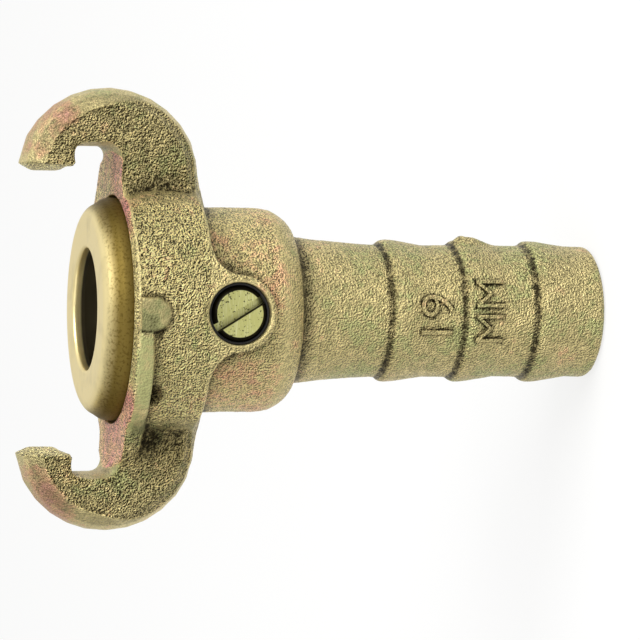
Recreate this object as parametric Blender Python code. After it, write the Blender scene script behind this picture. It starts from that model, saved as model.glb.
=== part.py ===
# Claw hose coupling with a shut-off valve. Metres, +Z up.
# The coupling stands on the end of its hose tail: its axis is +Z, the claws lie along X, the stem faces -Y.

import math

import bmesh
import bpy
from mathutils import Matrix, Vector

# Hose tail, for a 19 mm hose
HOSE_BORE = 0.019
BARB_RISE = 0.0016        # crest over the hose's bore radius
BARB_DEPTH = 0.00078      # crest over the groove
BARB_PITCH = 0.01158
BARB_COUNT = 3
BARB_CREST_LAND = 0.0021
BARB_STEP = 0.00115       # length of the steep side that grips
BARB_SLOPE = 0.0045       # length of the gentle side that the hose slides up
END_LAND = 0.01045        # from the tail end to the first crest
NECK_LENGTH = 0.0149      # from the last crest to the barrel's shoulder
NECK_SWELL = 0.0012       # how much the neck widens towards the barrel
TAIL_WALL = 0.0029
LIP_ROUND = 0.0011
MOUTH_CHAMFER = 0.0006    # inside the tail's end

# Barrel round the ball
SHOULDER_LENGTH = 0.0055
SHOULDER_OVERLAP = 0.0040  # from the chamber's rear wall forward to the end of the shoulder
BARREL_WALL = 0.0038

# Hub behind the face
HUB_LENGTH = 0.0122
HUB_BULGE = 0.0006        # how far its middle swells past the face's rim
HUB_REAR_BULGE = 0.00025
HUB_EDGE = 0.0013         # rounding of the rear edge
FACE_LAND = 0.0016        # machined ring round the nose ring
FACE_CHAMFER = 0.00045
RECESS_DEPTH = 0.0018

# Wings, which the other coupling's claws pull on
WING_THICKNESS = 0.0030
WING_RISE = 0.0022        # most that a wing stands proud of the rim
WING_LOW_RISE = 0.0009    # where it leaves the pad
WING_START = 4.0          # degrees from the stem, inside the pad, towards the claw it runs to
WING_CLEAR = 8.0          # where it stands clear of the pad
WING_FULL = 44.0
WING_FLARE = 0.0034       # how much further out it is where it meets the claw
WING_FLARE_START = 52.0
WING_END = 73.0
NOTCH_ANGLE = 39.0        # pocket behind each wing
NOTCH_RADIUS = 0.0011
NOTCH_LENGTH = 0.0040

# Locating pad beside the stem
PAD_WIDTH = 0.0051
PAD_REACH = 0.0051
PAD_RISE = 0.00055

# Claws
CLAW_GAP = 0.0416         # between the two tips
CLAW_WIDTH = 0.0160
CLAW_TIP_WIDTH = 0.0146
CLAW_ARC = 0.0138         # radius of the round back
CLAW_ARC_FORWARD = 0.0008  # centre of the back, ahead of the face
CLAW_ARM = 0.00905        # thickness of the arm outside the hook's slot
CLAW_FOOT = 0.0142        # where the back meets the barrel, behind the face
CLAW_NOSE_ANGLE = 168.0   # end of the round back, degrees from straight back
CLAW_NOSE_BEND = 16.0     # degrees over which the nose turns down to the tip
CLAW_TIP_ROUND = 0.0019
CLAW_CROWN = 0.0029       # how far the back falls away to its sides
CLAW_DRAFT = 0.0011       # the same on the inner side
CLAW_FILLET = 0.0028      # between the claw's sides and the hub
CLAW_WAIST = 0.0007       # how much thinner each side is just outside that fillet
CLAW_WAIST_HEIGHT = 0.0022
HOOK_GAP = 0.0069         # between the face and the hook's flat
HOOK_HEIGHT = 0.0038      # from the tip out to the bottom of the hook's slot
HOOK_SWELL = 0.0007       # how much deeper the slot is at the claw's sides
HOOK_CORNER = 0.0014
TOOTH_STEP = 0.00065      # small step under the tip
TOOTH_LENGTH = 0.0014

# Ball valve
BALL_BORE = 0.0140
BALL_WALL = 0.0042        # from the bore out to the ball's surface
BALL_COVER = 0.0046       # from the ball to the face
STEM_PHOTO_ANGLE = 31.7   # of the slot from the coupling's axis, as photographed
SEAT_STEP = 0.0004        # seat's bore past the ball's
SEAT_DEPTH = 0.0041
SEAT_LAND = 0.0010        # from the contact edge to the seat's back
CHAMBER_SPACE = 0.0008    # round the ball
CHAMBER_CHAMFER = 0.0005

# Stem
STEM_DIAMETER = 0.0084
STEM_FACE_CHAMFER = 0.00065
STEM_HOLE = 0.0094
STEM_HOLE_CHAMFER = 0.0003
STEM_SINK = 0.0004        # slotted face, below the boss's face
SLOT_WIDTH = 0.0013
SLOT_DEPTH = 0.0019
COLLAR_STEP = 0.0013      # collar's radius over the stem's
COLLAR_THICKNESS = 0.0011
WASHER_THICKNESS = 0.0006
TANG_WIDTH = 0.0068
TANG_THICKNESS = 0.0030
TANG_DEPTH = 0.0021
BOSS_DIAMETER = 0.0119
BOSS_RISE = 0.0032        # boss's face, out from the barrel
BOSS_EDGE = 0.0008        # rounding of the boss's rim
BOSS_FILLET = 0.0040      # plan fillet between boss and hub
O_RING_SECTION = 0.0012
O_RING_BELOW_FACE = 0.0011
O_RING_SQUEEZE = 0.0001   # the groove is this much deeper than the ring

# Nose ring
NOSE_HEIGHT = 0.0040      # how far it stands out of the face
NOSE_BORE = 0.0186
NOSE_LIP = 0.0013         # length of the mouth before the bore widens
NOSE_THROAT_STEP = 0.0009  # throat's radius over the bore's
NOSE_LAND = 0.0043        # flat nose from the bore outwards
NOSE_ROUND = 0.0026       # rounding at the outer side of the nose
NOSE_LIP_ROUND = 0.0005
NOSE_LIP_SLOPE = 0.0008   # from the mouth out to the throat
NOSE_SIDE = 0.0006        # height of the straight side over the face
NOSE_SIDE_TAPER = 0.0009
NOSE_FLANGE = 0.0033      # from the shank out to the ring's side
SHANK_STEP = 0.0016       # from the ball's chamber out to the shank's thread
SHANK_CHAMFER = 0.0006
SEAL_SECTION = 0.0015

# Fits
GAP = 0.0003              # between pieces that touch
RECESS_CLEARANCE = 0.0004
OVERRUN = 0.0015          # how far a cutter reaches past what it cuts

# Worked out from the values above
CREST_RADIUS = HOSE_BORE / 2 + BARB_RISE
GROOVE_RADIUS = CREST_RADIUS - BARB_DEPTH
TAIL_BORE_RADIUS = GROOVE_RADIUS - TAIL_WALL
LAST_CREST = END_LAND + (BARB_COUNT - 1) * BARB_PITCH
BALL_RADIUS = BALL_BORE / 2 + BALL_WALL
SEAT_BORE = BALL_BORE + 2 * SEAT_STEP
BALL_SWEEP = BALL_RADIUS + GAP
SEAT_FACE = math.sqrt(BALL_SWEEP**2 - (SEAT_BORE / 2) ** 2)  # seat's contact edge, from the ball's centre
SEAT_BACK = SEAT_FACE + SEAT_LAND
SEAT_INNER = SEAT_BACK - SEAT_DEPTH
STEM_SETBACK = BALL_RADIUS + BALL_COVER  # stem axis behind the face
SHOULDER_Z = LAST_CREST + NECK_LENGTH
BARREL_Z = SHOULDER_Z + SHOULDER_LENGTH
BARREL_LENGTH = STEM_SETBACK + SEAT_BACK + GAP - HUB_LENGTH - SHOULDER_OVERLAP
HUB_REAR_Z = BARREL_Z + BARREL_LENGTH
FACE_Z = HUB_REAR_Z + HUB_LENGTH
STEM_Z = FACE_Z - STEM_SETBACK
COLLAR_DIAMETER = STEM_DIAMETER + 2 * COLLAR_STEP
CHAMBER_RADIUS = BALL_RADIUS + CHAMBER_SPACE
SEAT_RADIUS = CHAMBER_RADIUS - GAP
BARREL_RADIUS = CHAMBER_RADIUS + BARREL_WALL
BOSS_FACE = BARREL_RADIUS + BOSS_RISE  # boss's face, from the coupling's axis
STEM_FACE = BOSS_FACE - STEM_SINK
SHANK_RADIUS = CHAMBER_RADIUS + SHANK_STEP
NOSE_RADIUS = SHANK_RADIUS + NOSE_FLANGE
RECESS_RADIUS = NOSE_RADIUS + RECESS_CLEARANCE
RIM_RADIUS = RECESS_RADIUS + FACE_LAND + FACE_CHAMFER
THREAD_BORE_RADIUS = SHANK_RADIUS + GAP
SHANK_END_Z = STEM_Z + SEAT_BACK + GAP
CLAW_TIP_RADIUS = CLAW_GAP / 2
HOOK_DEPTH = CLAW_TIP_RADIUS + HOOK_HEIGHT  # bottom of the hook's slot, from the axis
CLAW_ARC_OUT = HOOK_DEPTH + CLAW_ARM - CLAW_ARC  # centre of the round back, from the axis
FOOT_Z = FACE_Z - CLAW_FOOT

# Left on the face before it is machined; they differ so that no two rough surfaces coincide.
HUB_ALLOWANCE = 0.0006
WING_ALLOWANCE = 0.0005
CLAW_ALLOWANCE = 0.0007
WING_ROOT = 0.0003        # how deep the flange's rim lies in the hub where there is no wing
CLAW_BURIAL = 0.0015      # how deep the claw's root lies in the barrel

ROUND_STEPS = 56
BORE_STEPS = 40
SMALL_STEPS = 24
WING_STEPS = 90
RING_SECTION_STEPS = 8
CROWN_STATIONS = (-1.0, -0.88, -0.7, -0.45, 0.0, 0.45, 0.7, 0.88, 1.0)


# Scene, materials and small helpers

def clear_scene():
    for obj in list(bpy.data.objects):
        bpy.data.objects.remove(obj, do_unlink=True)


def make_material(name, colour, roughness, metallic):
    material = bpy.data.materials.new(name)
    material.use_nodes = True
    shader = material.node_tree.nodes["Principled BSDF"]
    shader.inputs["Base Color"].default_value = (*colour, 1.0)
    shader.inputs["Roughness"].default_value = roughness
    shader.inputs["Metallic"].default_value = metallic
    return material


def finish_mesh(name, bm, material=None, sharp_angle=35.0):
    """A new object from the bmesh, its faces turned outwards and its round sides shaded smooth."""
    bmesh.ops.remove_doubles(bm, verts=bm.verts[:], dist=1e-7)
    bmesh.ops.recalc_face_normals(bm, faces=bm.faces[:])
    mesh = bpy.data.meshes.new(name)
    bm.to_mesh(mesh)
    bm.free()
    mesh.shade_smooth()
    mesh.set_sharp_from_angle(angle=math.radians(sharp_angle))
    obj = bpy.data.objects.new(name, mesh)
    bpy.context.scene.collection.objects.link(obj)
    if material:
        mesh.materials.append(material)
    return obj


def as_helper(obj):
    obj.hide_render = True
    obj.display_type = "WIRE"
    return obj


def boolean(target, helper, operation):
    modifier = target.modifiers.new(helper.name, "BOOLEAN")
    modifier.operation = operation
    modifier.solver = "EXACT"
    modifier.object = as_helper(helper)
    return modifier


def cut(target, cutter):
    return boolean(target, cutter, "DIFFERENCE")


def add(target, extra):
    return boolean(target, extra, "UNION")


def place(obj, location=(0, 0, 0), rotation=(0, 0, 0), parent=None):
    obj.location = location
    obj.rotation_euler = rotation
    obj.parent = parent
    return obj


# Ways of making a solid

def turned(name, profile, steps=ROUND_STEPS, material=None):
    """A closed (radius, z) outline spun once round Z."""
    bm = bmesh.new()
    corners = [bm.verts.new((r, 0.0, z)) for r, z in profile]
    pairs = zip(corners, corners[1:] + corners[:1])
    edges = [bm.edges.new(pair) for pair in pairs if max(pair[0].co.x, pair[1].co.x) > 0]
    bmesh.ops.spin(
        bm,
        geom=corners + edges,
        axis=(0, 0, 1),
        cent=(0, 0, 0),
        angle=math.tau,
        steps=steps,
        use_merge=True,
        use_duplicate=False,
    )
    return finish_mesh(name, bm, material)


def lofted(name, rings, material=None, sharp_angle=35.0):
    """Rings of as many points each, bridged in turn and closed at both ends."""
    bm = bmesh.new()
    loops = [[bm.verts.new(point) for point in ring] for ring in rings]
    for near, far in zip(loops, loops[1:]):
        for i in range(len(near)):
            j = (i + 1) % len(near)
            bm.faces.new((near[i], near[j], far[j], far[i]))
    bm.faces.new(reversed(loops[0]))
    bm.faces.new(loops[-1])
    return finish_mesh(name, bm, material, sharp_angle)


def block(name, size, centre):
    bm = bmesh.new()
    bmesh.ops.create_cube(bm, size=1.0)
    bmesh.ops.scale(bm, vec=size, verts=bm.verts[:])
    bmesh.ops.translate(bm, vec=centre, verts=bm.verts[:])
    return finish_mesh(name, bm)


def arc(centre, radius, start, end, steps):
    """Points on an arc in a plane, angles in degrees, both ends included."""
    angles = [math.radians(start + (end - start) * i / steps) for i in range(steps + 1)]
    return [(centre[0] + radius * math.cos(a), centre[1] + radius * math.sin(a)) for a in angles]


def smooth_step(x):
    x = min(max(x, 0.0), 1.0)
    return x * x * (3 - 2 * x)


# The casting

def barb_points(crest_z):
    """(radius, z) from below one barb to above it."""
    return [
        (GROOVE_RADIUS, crest_z - BARB_CREST_LAND - BARB_SLOPE),
        (CREST_RADIUS - 0.12 * BARB_DEPTH, crest_z - BARB_CREST_LAND),
        (CREST_RADIUS, crest_z - 0.4 * BARB_CREST_LAND),
        (CREST_RADIUS - 0.08 * BARB_DEPTH, crest_z),
        (GROOVE_RADIUS + 0.25 * BARB_DEPTH, crest_z + 0.45 * BARB_STEP),
        (GROOVE_RADIUS, crest_z + BARB_STEP),
    ]


def neck_points():
    """(radius, z) of the neck, which widens in a soft curve up to the barrel's shoulder."""
    start = LAST_CREST + BARB_STEP
    points = []
    for i in range(1, 5):
        share = i / 4
        points.append((GROOVE_RADIUS + NECK_SWELL * share**1.4, start + (SHOULDER_Z - start) * share))
    return points


def shoulder_points():
    """(radius, z) of the quarter round from the neck out to the barrel."""
    inner = GROOVE_RADIUS + NECK_SWELL
    points = []
    for i in range(1, 8):
        turn = math.radians(90 * i / 7)
        points.append((
            inner + (BARREL_RADIUS - inner) * math.sin(turn) ** 0.95,
            BARREL_Z - SHOULDER_LENGTH * math.cos(turn),
        ))
    return points


def hub_points():
    """(radius, z) of the hub from the barrel to the face, past it by the casting's allowance."""
    rear = RIM_RADIUS + HUB_REAR_BULGE
    points = [(BARREL_RADIUS, HUB_REAR_Z - HUB_EDGE / 3), (BARREL_RADIUS + HUB_EDGE / 3, HUB_REAR_Z)]
    points += arc((rear - HUB_EDGE, HUB_REAR_Z + HUB_EDGE), HUB_EDGE, -90, 0, 4)
    length = FACE_Z - FACE_CHAMFER - HUB_REAR_Z - HUB_EDGE
    for i in range(1, 6):
        share = i / 6
        swell = HUB_REAR_BULGE * (1 - share) + HUB_BULGE * math.sin(math.pi * share)
        points.append((RIM_RADIUS + swell, HUB_REAR_Z + HUB_EDGE + length * share))
    points.append((RIM_RADIUS, FACE_Z - FACE_CHAMFER))
    points.append((RIM_RADIUS - FACE_CHAMFER - HUB_ALLOWANCE, FACE_Z + HUB_ALLOWANCE))
    return points


def make_turned_casting(material):
    lip = arc((GROOVE_RADIUS - LIP_ROUND, LIP_ROUND), LIP_ROUND, -90, 0, 4)
    outline = [(0.0, 0.0)] + lip
    for i in range(BARB_COUNT):
        outline += barb_points(END_LAND + i * BARB_PITCH)
    outline += neck_points() + shoulder_points() + hub_points()
    outline.append((0.0, FACE_Z + HUB_ALLOWANCE))
    return turned("coupling_body", outline, ROUND_STEPS, material)


def claw_back_point(angle):
    """(x, z) on the claw's round back, degrees from straight back towards the tail."""
    turn = math.radians(angle)
    return (CLAW_ARC_OUT + CLAW_ARC * math.sin(turn), FACE_Z + CLAW_ARC_FORWARD - CLAW_ARC * math.cos(turn))


def claw_back_tangent():
    """Angle on the back from which a straight line runs down to the claw's foot on the barrel."""
    across = CLAW_FOOT + CLAW_ARC_FORWARD
    down = CLAW_ARC_OUT - BARREL_RADIUS
    reach = math.hypot(across, down)
    return math.degrees(math.acos(CLAW_ARC / reach) - math.atan2(down, across))


def claw_half_width(x):
    """Half the claw's width where its root meets the hub in a fillet, x being the height over the axis."""
    half = CLAW_WIDTH / 2
    centre = half + CLAW_FILLET
    top = math.sqrt((RIM_RADIUS + CLAW_FILLET) ** 2 - centre**2)
    below = min(max(top - x, 0.0), 0.86 * CLAW_FILLET)
    waist = CLAW_WAIST * math.exp(-(((x - top) / CLAW_WAIST_HEIGHT) ** 2))
    return centre - math.sqrt(CLAW_FILLET**2 - below**2) - waist


def claw_ring(inner, outer, half_width, crown=CLAW_CROWN, draft=0.0):
    """A crowned cross-section from its inner to its outer point, both (x, z)."""
    inner, outer = Vector(inner), Vector(outer)
    along = (outer - inner).normalized()
    back = []
    front = []
    for t in CROWN_STATIONS:
        fall = outer - along * crown * abs(t) ** 2.6
        rise = inner + along * draft * t * t
        back.append((fall.x, t * half_width, fall.y))
        front.append((rise.x, t * half_width, rise.y))
    return back + front[::-1]


def claw_rings():
    """Cross-sections from the root on the barrel, round the hook, to the tip."""
    rings = []
    tangent = claw_back_tangent()
    start = claw_back_point(tangent)
    root = BARREL_RADIUS - CLAW_BURIAL
    blank_face = FACE_Z + CLAW_ALLOWANCE
    blank_bottom = HOOK_DEPTH - CLAW_ALLOWANCE
    blank_flat = FACE_Z + HOOK_GAP - CLAW_ALLOWANCE
    # Root: level sections up to where the round back starts.
    for i in range(8):
        share = i / 8
        x = root + (start[0] - root) * share
        z = FOOT_Z + (start[1] - FOOT_Z) * share
        rings.append(claw_ring((x, blank_face), (x, z), claw_half_width(x)))
    # Bend: sections that fan round the hook's slot.
    for i in range(12):
        share = i / 11
        angle = tangent + (CLAW_NOSE_ANGLE - CLAW_NOSE_BEND - tangent) * share
        inner = (
            blank_bottom - CLAW_ALLOWANCE * (1 - math.sin(math.pi * share)),
            blank_face + (blank_flat - blank_face) * share,
        )
        half = (CLAW_WIDTH + (CLAW_TIP_WIDTH - CLAW_WIDTH) * share) / 2
        rings.append(claw_ring(inner, claw_back_point(angle), half, draft=CLAW_DRAFT * share))
    # Tip: level sections that shrink to the crowned underside.
    half = CLAW_TIP_WIDTH / 2
    nose = claw_back_point(CLAW_NOSE_ANGLE)
    for share in (1.0, 0.75, 0.45, 0.1):
        level = CLAW_TIP_RADIUS + CLAW_DRAFT * share**2
        corner = (level, nose[1] - CLAW_TIP_ROUND * (1 - share**2))
        rings.append(claw_ring((level, blank_flat), corner, half * share, CLAW_CROWN * share))
    return rings


def make_claw(name, turn):
    return place(lofted(name, claw_rings()), rotation=(0, 0, turn))


def wing_radius(angle):
    """Outer radius of the flange, degrees from the stem towards the claw that the wing runs to."""
    low = smooth_step((angle - WING_START) / (WING_CLEAR - WING_START))
    wave = smooth_step((angle - WING_CLEAR) / (WING_FULL - WING_CLEAR))
    flare = smooth_step((angle - WING_FLARE_START) / (WING_END - WING_FLARE_START))
    # Past the claw's middle the flange drops back inside the hub.
    if angle > 90:
        low = wave = flare = 1 - smooth_step((angle - 90) / (90 - WING_END))
    rise = (WING_LOW_RISE + WING_ROOT) * low + (WING_RISE - WING_LOW_RISE) * wave
    return RIM_RADIUS - WING_ROOT + rise + WING_FLARE * flare


def make_wings():
    """The flange, whose rim swells into a wing on the way to each claw."""
    def ring(inset, z):
        points = []
        for i in range(WING_STEPS):
            theta = 360 * i / WING_STEPS
            radius = wing_radius(theta % 180) - inset
            turn = math.radians(theta)
            points.append((-radius * math.sin(turn), -radius * math.cos(turn), z))
        return points

    back = FACE_Z - WING_THICKNESS
    return lofted("wing_flange", [
        ring(FACE_CHAMFER, back),
        ring(0.0, back + FACE_CHAMFER),
        ring(0.0, FACE_Z - FACE_CHAMFER),
        ring(FACE_CHAMFER + WING_ALLOWANCE, FACE_Z + WING_ALLOWANCE),
    ])


def make_pad(name, turn):
    """A round-ended pad that lies on the hub behind the face."""
    half = PAD_WIDTH / 2
    end = FACE_Z - PAD_REACH + half
    outline = [(half, FACE_Z - FACE_CHAMFER)] + arc((0.0, end), half, 0, -180, 14)
    outline.append((-half, FACE_Z - FACE_CHAMFER))
    top = RIM_RADIUS + HUB_BULGE + PAD_RISE
    edge = PAD_RISE / 2
    rings = [
        [(x, -RECESS_RADIUS, z) for x, z in outline],
        [(x, -(top - edge), z) for x, z in outline],
        [(x * (1 - edge / half), -top, z + edge * (z < FACE_Z - PAD_RISE)) for x, z in outline],
    ]
    return place(lofted(name, rings), rotation=(0, 0, turn))


def make_notch(name, turn):
    """The pocket behind a wing: a short groove with round ends."""
    radius = RIM_RADIUS + 0.4 * NOTCH_RADIUS
    bm = bmesh.new()
    bmesh.ops.create_uvsphere(bm, u_segments=12, v_segments=8, radius=NOTCH_RADIUS)
    stretch = NOTCH_LENGTH / 2 / NOTCH_RADIUS
    bmesh.ops.scale(bm, vec=(stretch, 1.3, 1.0), verts=bm.verts[:])
    level = FACE_Z - WING_THICKNESS - 0.55 * NOTCH_RADIUS
    bmesh.ops.translate(bm, vec=(0, -radius, level), verts=bm.verts[:])
    return place(finish_mesh(name, bm), rotation=(0, 0, turn - math.radians(NOTCH_ANGLE)))


def boss_outline(inset):
    """(x, z) round the stem boss and the fillets that tie it to the hub, drawn in by inset."""
    fillet_z = HUB_REAR_Z - BOSS_FILLET
    spacing = BOSS_DIAMETER / 2 + BOSS_FILLET
    fillet_x = math.sqrt(spacing**2 - (STEM_Z - fillet_z) ** 2)
    touch = math.degrees(math.atan2(fillet_z - STEM_Z, fillet_x))
    radius = BOSS_DIAMETER / 2 - inset
    inside_hub = HUB_REAR_Z + HUB_EDGE
    right = arc((fillet_x, fillet_z), BOSS_FILLET + inset, 180 + touch, 90, 6)
    round_end = arc((0.0, STEM_Z), radius, 180 - touch, 360 + touch, 20)
    left = [(-x, z) for x, z in reversed(right)]
    return left[:-1] + round_end + right[1:] + [(fillet_x, inside_hub), (-fillet_x, inside_hub)]


def make_boss():
    """The boss with its flat face, trimmed all round to the hub's radius."""
    rings = [
        [(x, y, z) for x, z in boss_outline(inset)]
        for y, inset in (
            (-CHAMBER_RADIUS, 0.0),
            (-(BOSS_FACE - BOSS_EDGE), 0.0),
            (-(BOSS_FACE - 0.3 * BOSS_EDGE), 0.3 * BOSS_EDGE),
            (-BOSS_FACE, 0.9 * BOSS_EDGE),
        )
    ]
    boss = lofted("stem_boss", rings)
    outline = [(0.0, BARREL_Z), (RIM_RADIUS, BARREL_Z), (RIM_RADIUS, FACE_Z), (0.0, FACE_Z)]
    boolean(boss, turned("boss_round", outline), "INTERSECT")
    return boss


def make_face_cutter():
    """The tool that faces the hub and opens both hooks: a bar with round corners, a little wider outside.

    Its middle reaches further up, which leaves the small step under each tip."""
    near, far = FACE_Z, FACE_Z + HOOK_GAP
    low, high = HOOK_CORNER, 0.7 * HOOK_CORNER
    tooth = CLAW_TIP_RADIUS + TOOTH_STEP
    relief = [(tooth, far), (tooth, far + TOOTH_LENGTH), (-tooth, far + TOOTH_LENGTH), (-tooth, far)]
    rings = []
    for share in (-3.0, -1.0, -0.5, 0.0, 0.5, 1.0, 3.0):
        reach = HOOK_DEPTH + HOOK_SWELL * min(abs(share), 1.0) ** 2
        outline = (
            arc((reach - low, near + low), low, -90, 0, 5)
            + arc((reach - high, far - high), high, 0, 90, 4)
            + relief
            + arc((high - reach, far - high), high, 90, 180, 4)
            + arc((low - reach, near + low), low, 180, 270, 5)
        )
        rings.append([(x, share * CLAW_WIDTH / 2, z) for x, z in outline])
    return lofted("face_cutter", rings)


def make_flow_cutter():
    """Recess, seal groove, threaded bore, ball chamber and tail bore in one turned outline."""
    floor = FACE_Z - RECESS_DEPTH
    groove_mid = (SHANK_RADIUS + RECESS_RADIUS) / 2
    groove_half = SEAL_SECTION / 2 + GAP
    rear = STEM_Z - SEAT_BACK - GAP
    front = STEM_Z + SEAT_BACK
    outline = [
        (0.0, -OVERRUN),
        (TAIL_BORE_RADIUS + MOUTH_CHAMFER + OVERRUN, -OVERRUN),
        (TAIL_BORE_RADIUS, MOUTH_CHAMFER),
        (TAIL_BORE_RADIUS, rear),
        (CHAMBER_RADIUS - CHAMBER_CHAMFER, rear),
        (CHAMBER_RADIUS, rear + CHAMBER_CHAMFER),
        (CHAMBER_RADIUS, front - CHAMBER_CHAMFER),
        (THREAD_BORE_RADIUS, front),
        (THREAD_BORE_RADIUS, floor),
        (groove_mid - groove_half, floor),
        (groove_mid - groove_half, floor - SEAL_SECTION),
        (groove_mid + groove_half, floor - SEAL_SECTION),
        (groove_mid + groove_half, floor),
        (RECESS_RADIUS, floor),
        (RECESS_RADIUS, FACE_Z + OVERRUN),
        (0.0, FACE_Z + OVERRUN),
    ]
    return turned("flow_cutter", outline, BORE_STEPS)


def stem_cutter_profile():
    """(radius, distance from the axis) of the stem's bore and of the step for its collar."""
    shoulder = collar_outer() + GAP + WASHER_THICKNESS + GAP
    collar_hole = COLLAR_DIAMETER / 2 + GAP
    hole = STEM_HOLE / 2
    mouth = hole + STEM_HOLE_CHAMFER + OVERRUN
    inside = BALL_RADIUS - OVERRUN
    return [
        (0.0, inside),
        (collar_hole, inside),
        (collar_hole, shoulder),
        (hole, shoulder),
        (hole, BOSS_FACE - STEM_HOLE_CHAMFER),
        (mouth, BOSS_FACE + OVERRUN),
        (0.0, BOSS_FACE + OVERRUN),
    ]


def make_body(material):
    body = make_turned_casting(material)
    for name, turn in (("claw_a", 0.0), ("claw_b", math.pi)):
        add(body, make_claw(name, turn))
    add(body, make_wings())
    for name, turn in (("pad_a", 0.0), ("pad_b", math.pi)):
        add(body, make_pad(name, turn))
    add(body, make_boss())
    cut(body, make_face_cutter())
    for name, turn in (("notch_a", 0.0), ("notch_b", math.pi)):
        cut(body, make_notch(name, turn))
    cut(body, make_flow_cutter())
    bore = turned("stem_cutter", stem_cutter_profile(), SMALL_STEPS)
    cut(body, place(bore, location=(0, 0, STEM_Z), rotation=(math.pi / 2, 0, 0)))
    return body


# Nose ring and its seal

def make_nose_ring(material):
    top = FACE_Z + NOSE_HEIGHT
    bore = NOSE_BORE / 2
    throat = bore + NOSE_THROAT_STEP
    floor = FACE_Z - RECESS_DEPTH + GAP
    crown = arc((bore + NOSE_LAND, top - NOSE_ROUND), NOSE_ROUND, 32, 90, 4)
    lip = arc((bore + NOSE_LIP_ROUND, top - NOSE_LIP_ROUND), NOSE_LIP_ROUND, 90, 180, 3)
    outline = [
        (NOSE_RADIUS, floor),
        (NOSE_RADIUS, FACE_Z + NOSE_SIDE),
        (NOSE_RADIUS - NOSE_SIDE_TAPER / 4, FACE_Z + 2.3 * NOSE_SIDE),
        (NOSE_RADIUS - NOSE_SIDE_TAPER, FACE_Z + 4 * NOSE_SIDE),
    ]
    outline += crown + lip
    outline += [
        (bore, top - NOSE_LIP),
        (throat, top - NOSE_LIP - NOSE_LIP_SLOPE),
        (throat, SHANK_END_Z),
        (SHANK_RADIUS - SHANK_CHAMFER, SHANK_END_Z),
        (SHANK_RADIUS, SHANK_END_Z + SHANK_CHAMFER),
        (SHANK_RADIUS, floor),
    ]
    return turned("nose_ring", outline, BORE_STEPS, material)


def ring_section(radius, level, section):
    """A round rubber section, (radius, z)."""
    last = RING_SECTION_STEPS - 1
    return arc((radius, level), section / 2, 0, 360 * last / RING_SECTION_STEPS, last)


def make_nose_seal(material):
    middle = (SHANK_RADIUS + RECESS_RADIUS) / 2
    section = SEAL_SECTION - 2 * GAP
    level = FACE_Z - RECESS_DEPTH - section / 2
    return turned("nose_seal", ring_section(middle, level, section), BORE_STEPS, material)


# Ball and seats

def seat_outline():
    """(radius, z) of a seat, z from the ball's centre. Its inner side follows the ball."""
    outer_low = math.sqrt(BALL_SWEEP**2 - SEAT_INNER**2)
    start = math.degrees(math.atan2(SEAT_INNER, outer_low))
    end = math.degrees(math.atan2(SEAT_FACE, SEAT_BORE / 2))
    curve = arc((0.0, 0.0), BALL_SWEEP, start, end, 4)
    return [(SEAT_BORE / 2, SEAT_BACK), (SEAT_RADIUS, SEAT_BACK), (SEAT_RADIUS, SEAT_INNER)] + curve


def make_seat(name, direction, material):
    outline = [(r, z * direction) for r, z in seat_outline()]
    return place(turned(name, outline, BORE_STEPS, material), location=(0, 0, STEM_Z))


def make_ball(material):
    """The bored ball in its own frame: bore along Z, stem slot across it at -Y."""
    half_bore = BALL_BORE / 2
    reach = math.degrees(math.acos(half_bore / BALL_RADIUS))
    outline = arc((0.0, 0.0), BALL_RADIUS, -reach, reach, 12)
    outline += [(half_bore, 0.0)]
    ball = turned("valve_ball", outline, BORE_STEPS, material)
    tang_end = collar_inner() - TANG_DEPTH
    depth = BALL_RADIUS - tang_end + GAP
    slot = block(
        "tang_slot",
        (2 * BALL_RADIUS, depth + OVERRUN, TANG_THICKNESS + 2 * GAP),
        (0, -(BALL_RADIUS + (OVERRUN - depth) / 2), 0),
    )
    return ball, slot


# Stem, its seal and its washer

def collar_inner():
    return BALL_RADIUS + GAP


def collar_outer():
    return collar_inner() + COLLAR_THICKNESS


def o_ring_level():
    """Middle of the stem's O-ring, from the coupling's axis."""
    return STEM_FACE - O_RING_BELOW_FACE - O_RING_SECTION / 2


def make_stem(material):
    """The stem along Z from the coupling's axis, turned with a seal groove and a slotted face."""
    radius = STEM_DIAMETER / 2
    groove = STEM_HOLE / 2 - GAP - O_RING_SECTION - O_RING_SQUEEZE
    half = O_RING_SECTION / 2 + GAP
    outline = [
        (0.0, collar_inner()),
        (COLLAR_DIAMETER / 2, collar_inner()),
        (COLLAR_DIAMETER / 2, collar_outer()),
        (radius, collar_outer()),
        (radius, o_ring_level() - half),
        (groove, o_ring_level() - half),
        (groove, o_ring_level() + half),
        (radius, o_ring_level() + half),
        (radius, STEM_FACE - STEM_FACE_CHAMFER),
        (radius - STEM_FACE_CHAMFER, STEM_FACE),
        (0.0, STEM_FACE),
    ]
    stem = turned("valve_stem", outline, SMALL_STEPS, material)
    height = TANG_DEPTH + COLLAR_THICKNESS / 2
    level = collar_inner() - TANG_DEPTH + height / 2
    tang = block("stem_tang", (TANG_WIDTH, TANG_THICKNESS, height), (0, 0, level))
    slot = block("screw_slot", (SLOT_WIDTH, 2 * STEM_DIAMETER, 2 * SLOT_DEPTH), (0, 0, STEM_FACE))
    return stem, tang, slot


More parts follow.
